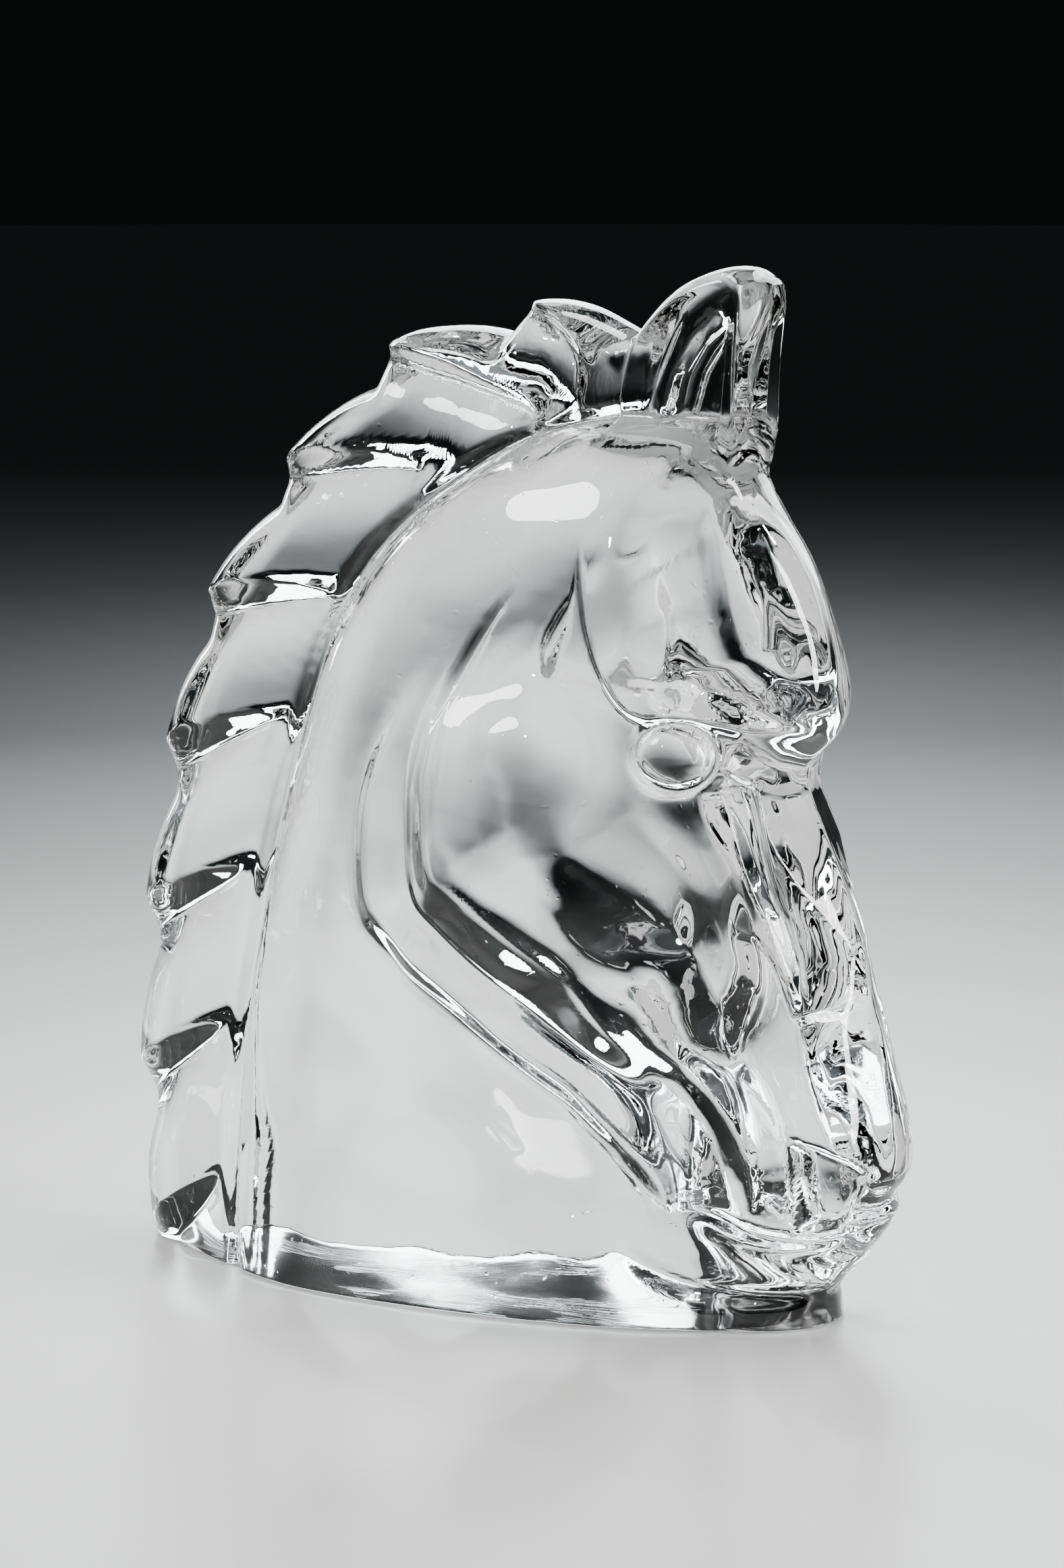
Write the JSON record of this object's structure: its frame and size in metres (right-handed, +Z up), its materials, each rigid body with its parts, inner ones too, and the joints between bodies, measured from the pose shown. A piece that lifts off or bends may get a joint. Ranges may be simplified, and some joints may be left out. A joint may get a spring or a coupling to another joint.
{
  "type": "crystal horse head sculpture",
  "caption": "Solid clear crystal horse head with a bent neck, pricked ears, a mane of overlapping locks and a flat underside that it stands on.",
  "frame": {"origin": "middle of the bounding box in plan, on the flat underside", "axes": "+Z up to the ear tips, +X the way the horse looks, +Y to its left; Y = 0 is the mirror plane"},
  "size_m": [0.1205, 0.047, 0.1399],
  "materials": {
    "clear_crystal": "fire polished, clear and colourless"
  },
  "bodies": {
    "root": {"horse_head": "clear_crystal"}
  },
  "joints": []
}
